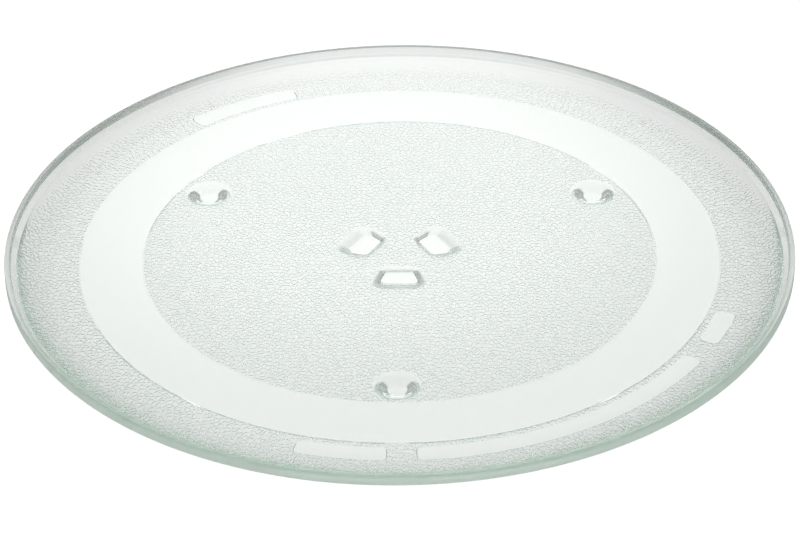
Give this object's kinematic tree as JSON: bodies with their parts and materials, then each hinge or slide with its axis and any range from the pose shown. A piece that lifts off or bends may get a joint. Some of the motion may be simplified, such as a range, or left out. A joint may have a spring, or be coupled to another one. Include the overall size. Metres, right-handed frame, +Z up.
{
  "type": "microwave turntable plate",
  "caption": "Round clear-glass turntable plate with a low flared rim, a smooth roller track, drive lugs round the centre and short feet underneath.",
  "frame": {"origin": "middle of the plane that the three feet stand on", "axes": "+Z up along the plate's axis; the front foot and its lug lie along -Y"},
  "size_m": [0.27, 0.27, 0.0143],
  "materials": {
    "clear_glass": "pressed, smooth on top, pebbled underneath"
  },
  "bodies": {
    "root": {"turntable_plate": "clear_glass"}
  },
  "joints": []
}
